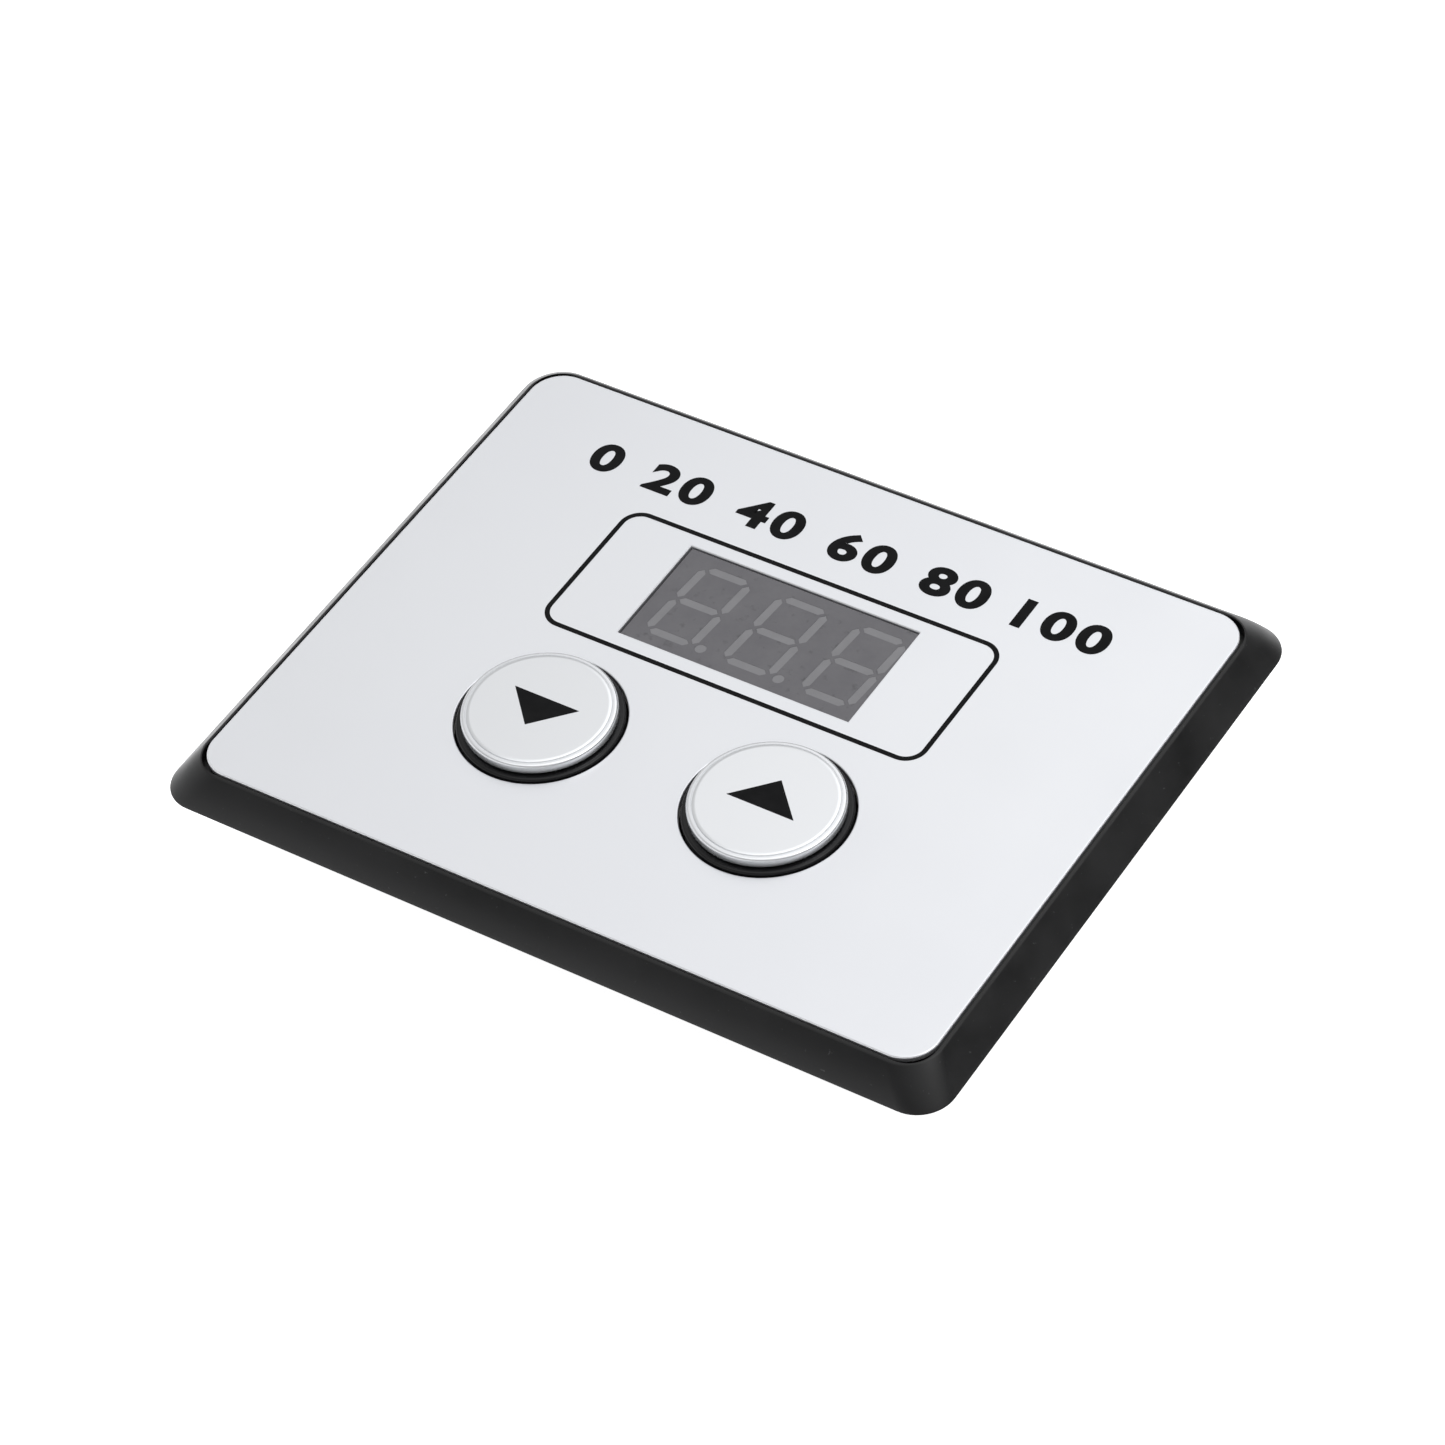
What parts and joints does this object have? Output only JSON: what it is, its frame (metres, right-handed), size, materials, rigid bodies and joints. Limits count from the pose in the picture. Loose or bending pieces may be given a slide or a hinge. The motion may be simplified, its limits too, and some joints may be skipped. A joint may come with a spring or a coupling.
{
  "type": "programmable control panel",
  "caption": "Flush-mounted heating control panel: silver front plate in a sloped black bezel, digital display, and round up and down push buttons.",
  "frame": {"origin": "middle of the rear cover's outer face, on which the part lies", "axes": "+X along the display, to the right seen from the front; +Y to the upper edge of the panel; +Z out of the front"},
  "size_m": [0.1252, 0.0978, 0.0221],
  "materials": {
    "silver_plate": "satin silver",
    "silver_cap": "satin silver with a polished rim",
    "black_case": "fine-textured satin black",
    "black_button": "smooth black",
    "display_grey": "satin grey",
    "segment": "milky, unlit",
    "adhesive": "dull",
    "foam": "closed-cell foam",
    "board_green": "green solder mask",
    "steel": "zinc-plated",
    "spring_steel": "bright spring steel",
    "black_switch": "dull black",
    "chip_black": "moulded epoxy",
    "network_yellow": "dipped lacquer",
    "can_blue": "shrink sleeve",
    "header_white": "natural nylon",
    "brass": "plated"
  },
  "bodies": {
    "panel": {"front_plate": "silver_plate", "adhesive_sheet": "adhesive", "bezel_housing": "black_case", "panel_gasket": "foam", "rear_cover": "black_case", "cover_screw_1": "steel", "cover_screw_2": "steel", "cover_screw_3": "steel", "cover_screw_4": "steel", "left_panel_clip": "spring_steel", "left_clip_screw": "steel", "right_panel_clip": "spring_steel", "right_clip_screw": "steel", "main_board": "board_green", "board_screw_1": "steel", "board_screw_2": "steel", "board_screw_3": "steel", "board_screw_4": "steel", "display_case": "display_grey", "display_diffuser": "segment", "display_board": "board_green", "controller_chip": "chip_black", "driver_chip": "chip_black", "resistor_network": "network_yellow", "electrolytic_capacitor": "can_blue", "crystal": "steel", "voltage_regulator": "chip_black", "cable_header": "header_white", "header_pin_1": "brass", "header_pin_2": "brass", "header_pin_3": "brass", "header_pin_4": "brass", "down_return_spring": "spring_steel", "down_switch_body": "black_switch", "down_switch_plate": "steel", "up_return_spring": "spring_steel", "up_switch_body": "black_switch", "up_switch_plate": "steel"},
    "down_button": {"down_button_cap": "silver_cap", "down_button_body": "black_button"},
    "down_plunger": {"down_switch_plunger": "black_switch"},
    "up_button": {"up_button_cap": "silver_cap", "up_button_body": "black_button"},
    "up_plunger": {"up_switch_plunger": "black_switch"}
  },
  "joints": [
    {"name": "down_button_press", "type": "slide", "parent": "panel", "child": "down_button", "axis": [0, 0, -1], "range_m": [0, 0.0006], "stiffness_N_per_m": 1500, "springref_m": -0.0006, "deforming": ["down_return_spring"]},
    {"name": "down_plunger_press", "type": "slide", "parent": "panel", "child": "down_plunger", "axis": [0, 0, -1], "range_m": [0, 0.0003]},
    {"name": "up_button_press", "type": "slide", "parent": "panel", "child": "up_button", "axis": [0, 0, -1], "range_m": [0, 0.0006], "stiffness_N_per_m": 1500, "springref_m": -0.0006, "deforming": ["up_return_spring"]},
    {"name": "up_plunger_press", "type": "slide", "parent": "panel", "child": "up_plunger", "axis": [0, 0, -1], "range_m": [0, 0.0003]}
  ],
  "couplings": [
    {"joint": "down_plunger_press", "follows": "down_button_press", "ratio": 0.5},
    {"joint": "up_plunger_press", "follows": "up_button_press", "ratio": 0.5}
  ]
}
